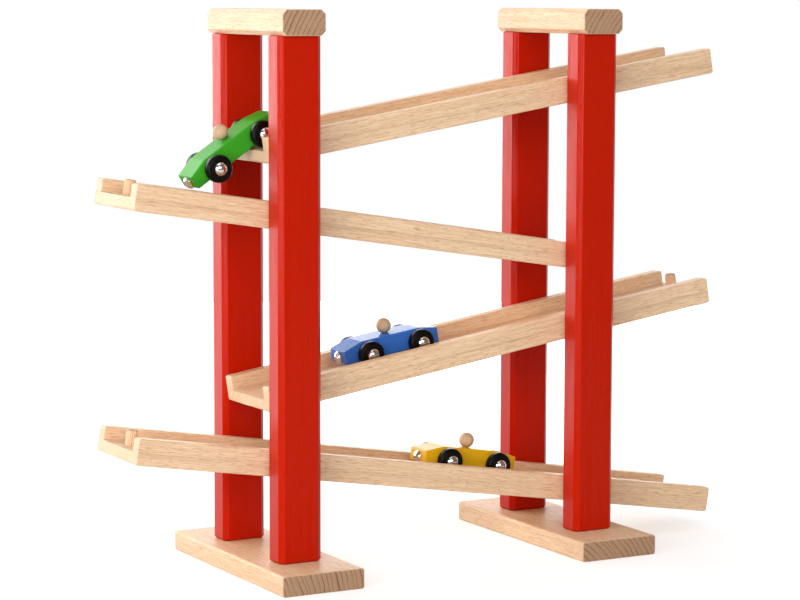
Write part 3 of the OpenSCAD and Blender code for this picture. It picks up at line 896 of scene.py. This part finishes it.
class CARRUN_OT_wheels(bpy.types.Operator):
    """Make the twelve wheels"""

    bl_idname = "car_run.wheels"
    bl_label = "Wheels"

    def execute(self, context):
        sizes = context.scene.car_run_cars
        black = scuffed(
            "Wheel black", finishes().wheel_black,
            rubbed=2.6, smooth=0.28, rough=0.42, relief=0.4, shader={"Specular IOR Level": 0.14},
        )
        for car, axle, side in product(CARS, AXLES, SIDES):
            node = f"{car}_car_{axle}_{side}_wheel"
            middle, (diameter, width, _) = box_of(node)
            tyre = self.tyre(diameter, width, sizes)
            shape = placed(tyre, middle, (-Y_AXIS, X_AXIS, Z_AXIS))
            # Marks of the lathe run round the axle: the same at one radius
            along, across, upright = tyre[0].T
            lathe = np.stack([upright, np.hypot(across, upright), along], axis=1)
            make_piece(node, "turned", shape, black, node, lathe)
        return {"FINISHED"}

    def tyre(self, diameter, width, sizes):
        """A ring's section, with broad shoulders outside and small edges at the bore, turned round.

        Both faces dip in shallow grooves, by their depth times half of one minus the cosine.
        """
        bore, tread, half = sizes.wheel_bore / 2, diameter / 2, width / 2
        corners = [[bore, -half], [tread, -half], [tread, half], [bore, half]]
        bore_edge, shoulder, arc, face_steps = 0.3 * MM, sizes.wheel_shoulder, 9, 26
        profile, normals = rounded_outline(corners, [bore_edge, shoulder, shoulder, bore_edge], arc - 1)
        radius = np.linspace(sizes.dome_diameter / 2, tread - shoulder, face_steps)[1:-1]
        turn = 2 * math.pi * (radius - radius[0]) / (radius[-1] - radius[0]) * sizes.wheel_grooves
        dip = sizes.groove_depth * (1 - np.cos(turn)) / 2
        slope = np.gradient(dip, radius)
        upright = 1 / np.sqrt(1 + slope**2)
        low = np.stack([radius, dip - half], axis=1), np.stack([slope * upright, -upright], axis=1)
        high = [(values * (1, -1))[::-1] for values in low]
        section = [
            np.concatenate([values[:arc], under, values[arc : 3 * arc], over, values[3 * arc :]])
            for values, under, over in zip((profile, normals), low, high)
        ]
        return turned(*section, 72, ring=True)


class CARRUN_OT_domes(bpy.types.Operator):
    """Make the bright hub caps and nose studs"""

    bl_idname = "car_run.domes"
    bl_label = "Hub caps and studs"

    def execute(self, context):
        sizes = context.scene.car_run_cars
        bright = bright_metal()
        for car in CARS:
            front, rear, (_, tailward, up) = car_axes(car)
            dome = self.dome(sizes)
            node = f"{car}_car_hub_caps"
            _, (_, reach, _) = box_of(node)
            seat = reach / 2 - sizes.dome_rim - sizes.dome_height
            caps = [
                placed(dome, middle + side * seat * Y_AXIS, (side * Y_AXIS, up, side * tailward))
                for middle in (front, rear)
                for side in (-1, 1)
            ]
            make_piece(node, "domed", joined(caps), bright, f"{car}_car")
            nose = front - sizes.nose * tailward
            stud = placed(dome, nose, (-tailward, up, Y_AXIS))
            make_piece(f"{car}_car_nose_stud", "domed", stud, bright, f"{car}_car")
        return {"FINISHED"}

    def dome(self, sizes, steps=20):
        """A rim, then part of a ball: its radius is (r squared + h squared) over twice h."""
        radius, height, rim = sizes.dome_diameter / 2, sizes.dome_height, sizes.dome_rim
        ball = (radius**2 + height**2) / (2 * height)
        rise = np.linspace(math.asin(radius / ball), 0, steps)
        arc = np.stack([ball * np.sin(rise), rim + height - ball * (1 - np.cos(rise))], axis=1)
        arc_normals = np.stack([np.sin(rise), np.cos(rise)], axis=1)
        foot = [[0, 0], [radius, 0], [radius, rim * 0.8]]
        foot_normals = [[0, -1], [1, 0], [1, 0]]
        return turned(np.concatenate([foot, arc]), np.concatenate([foot_normals, arc_normals]), 48)


class CARRUN_OT_fixings(bpy.types.Operator):
    """Finish the pieces that hold the run together: dowels, screws and axles"""

    bl_idname = "car_run.fixings"
    bl_label = "Fixings"

    def execute(self, context):
        quarter = math.pi / 2
        finish_node("track_dowels", beech("Track dowel beech", ring_width=1.6, place=(0, 0, -quarter)))
        finish_node("cap_dowels", beech("Cap dowel beech", ring_width=1.6, place=(0, quarter, 0)))
        finish_node("foot_screws", steel())
        for car, axle in product(CARS, AXLES):
            finish_node(f"{car}_car_{axle}_axle", steel())
        return {"FINISHED"}


def finish_node(node, material):
    """Gives a CAD node one finish in all its slots."""
    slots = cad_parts[node].data.materials
    slots.clear()
    slots.append(material)


class CARRUN_OT_stage(bpy.types.Operator):
    """Set the floor, the lamps, the surroundings and the camera"""

    bl_idname = "car_run.stage"
    bl_label = "Stage"

    def execute(self, context):
        scene = context.scene
        settings = scene.car_run_stage
        scene.view_settings.view_transform = "Standard"
        self.floor()
        self.surroundings(scene, settings.ambient, settings.gloss)
        for name, key, size, place in LAMPS:
            self.lamp(name, getattr(settings, key), size, place)
        self.camera(scene, settings)
        return {"FINISHED"}

    def floor(self):
        _, round_the_middle = circle(128)
        rim = FLOOR_RADIUS * np.pad(round_the_middle, [(0, 0), (0, 1)])
        mesh = bpy.data.meshes.new("floor")
        mesh.from_pydata(rim, [], [range(len(rim))])
        mesh.materials.append(self.paper())
        floor = new_object("floor", mesh)

    def paper(self):
        """Pale paper that keeps the shadow by the run and fades to white further out.

        The camera sees the white all round, and gloss mirrors it behind the run.
        """
        shader = {"Base Color": (0.8, 0.8, 0.8, 1), "Roughness": 0.9, "Specular IOR Level": 0.0}
        material, tree, bsdf = new_material("Floor paper", shader)
        place = tree.add("ShaderNodeTexCoord").outputs["Object"]
        away = tree.vector("LENGTH", "Value", place)
        white = tree.add("ShaderNodeEmission", {"Strength": tree.rise(away, 0.2, 0.8, 0.42, 0.95)})
        both = tree.add("ShaderNodeAddShader", {0: bsdf.outputs[0], 1: white.outputs[0]})
        behind = tree.add("ShaderNodeSeparateXYZ", {0: place}).outputs["Y"]
        glossy = tree.add("ShaderNodeLightPath").outputs["Is Glossy Ray"]
        mirrored = tree.times(glossy, tree.rise(behind, -0.2, 0.5))
        shown = tree.math("MAXIMUM", seen_rays(tree), mirrored)
        mixed = tree.add("ShaderNodeMixShader", {0: shown, 1: bsdf.outputs[0], 2: both.outputs[0]})
        output = next(node for node in tree.tree.nodes if node.type == "OUTPUT_MATERIAL")
        tree.give(output, {"Surface": mixed.outputs[0]})
        return material

    def surroundings(self, scene, ambient, gloss):
        """A white backdrop, soft light from all round, and in the gloss a dim room facing the backdrop."""
        world = bpy.data.worlds.new("Studio")
        world.use_nodes = True
        world.node_tree.nodes.clear()
        tree = NodeTree(world.node_tree)
        glossy = tree.add("ShaderNodeLightPath").outputs["Is Glossy Ray"]
        way = tree.add("ShaderNodeTexCoord").outputs["Generated"]
        behind = tree.add("ShaderNodeSeparateXYZ", {0: way}).outputs["Y"]
        mirrored = tree.math("SUBTRACT", tree.rise(behind, -0.3, 0.4, gloss, 1.0), ambient)
        level = tree.times(glossy, mirrored, ambient)
        light = tree.add("ShaderNodeBackground", {"Color": (1, 0.99, 0.98, 1), "Strength": level})
        white = tree.add("ShaderNodeBackground", {"Color": (1, 1, 1, 1), "Strength": 1.0})
        choice = {0: seen_rays(tree), 1: light.outputs[0], 2: white.outputs[0]}
        mixed = tree.add("ShaderNodeMixShader", choice)
        tree.add("ShaderNodeOutputWorld", {"Surface": mixed.outputs[0]})
        scene.world = world

    def lamp(self, name, watts, size, place):
        data = bpy.data.lights.new(name, "AREA")
        data.shape = "RECTANGLE"
        data.size, data.size_y = size
        data.energy = watts
        lamp = new_object(name, data)
        lamp.matrix_world = looking(np.array(place), LAMP_TARGET, 0.0)
        lamp.visible_camera = False

    def camera(self, scene, settings):
        """A camera on the line back from the target, moved aside by the target's place in the picture."""
        level, rise = math.cos(settings.elevation), math.sin(settings.elevation)
        back = np.array([-math.sin(settings.azimuth) * level, -math.cos(settings.azimuth) * level, rise])
        data = bpy.data.cameras.new("Photo camera")
        data.lens = settings.lens
        data.sensor_width = SENSOR_WIDTH
        target = np.array([0, 0, settings.target_height])
        turned_frame = looking(target + back * settings.distance, target, settings.roll)
        right, up = (np.array(turned_frame.col[index][:3]) for index in (0, 1))
        spread = settings.distance * SENSOR_WIDTH / settings.lens
        aside = -spread * (settings.target_right * right + settings.target_up * up)
        turned_frame.translation = turned_frame.translation + Vector(aside)
        scene.camera = new_object("Photo camera", data)
        scene.camera.matrix_world = turned_frame


def seen_rays(tree):
    """One for rays that come straight, or through glass, from the camera."""
    path = tree.add("ShaderNodeLightPath").outputs
    return tree.math("MAXIMUM", path["Is Camera Ray"], path["Is Transmission Ray"])


def looking(place, target, roll):
    """A matrix at a place whose minus Z looks at the target, with X level but for the roll."""
    back = (place - target) / np.linalg.norm(place - target)
    right = np.cross(Z_AXIS, back)
    right /= np.linalg.norm(right)
    up = np.cross(back, right)
    cosine, sine = math.cos(roll), math.sin(roll)
    columns = [cosine * right + sine * up, cosine * up - sine * right, back]
    return Matrix.Translation(place) @ Matrix(np.array(columns).T).to_4x4()


class CARRUN_PT_sidebar(bpy.types.Panel):
    """Lists the run's operators, sizes and colours"""

    bl_label = "Wooden car run"
    bl_idname = "CARRUN_PT_sidebar"
    bl_space_type = "VIEW_3D"
    bl_region_type = "UI"
    bl_category = "Car run"

    def draw(self, context):
        for operator in OPERATORS:
            self.layout.operator(operator.bl_idname)
        for name in PROPERTIES:
            group = getattr(context.scene, name)
            box = self.layout.box()
            for key in group.__annotations__:
                box.prop(group, key)


OPERATORS = (
    CARRUN_OT_planks,
    CARRUN_OT_posts,
    CARRUN_OT_tracks,
    CARRUN_OT_stops,
    CARRUN_OT_bodies,
    CARRUN_OT_drivers,
    CARRUN_OT_wheels,
    CARRUN_OT_domes,
    CARRUN_OT_fixings,
    CARRUN_OT_stage,
)
PROPERTIES = {
    "car_run_wood": CarRunWood,
    "car_run_cars": CarRunCars,
    "car_run_finishes": CarRunFinishes,
    "car_run_stage": CarRunStage,
}
CLASSES = (*PROPERTIES.values(), *OPERATORS, CARRUN_PT_sidebar)


def register():
    for cls in CLASSES:
        bpy.utils.register_class(cls)
    for name, group in PROPERTIES.items():
        setattr(bpy.types.Scene, name, PointerProperty(type=group))


def unregister():
    for name in PROPERTIES:
        delattr(bpy.types.Scene, name)
    for cls in reversed(CLASSES):
        bpy.utils.unregister_class(cls)


def main():
    register()
    bpy.ops.car_run.planks()
    bpy.ops.car_run.posts()
    bpy.ops.car_run.tracks()
    bpy.ops.car_run.stops()
    bpy.ops.car_run.bodies()
    bpy.ops.car_run.drivers()
    bpy.ops.car_run.wheels()
    bpy.ops.car_run.domes()
    bpy.ops.car_run.fixings()
    bpy.ops.car_run.stage()


if __name__ == "__main__":
    main()
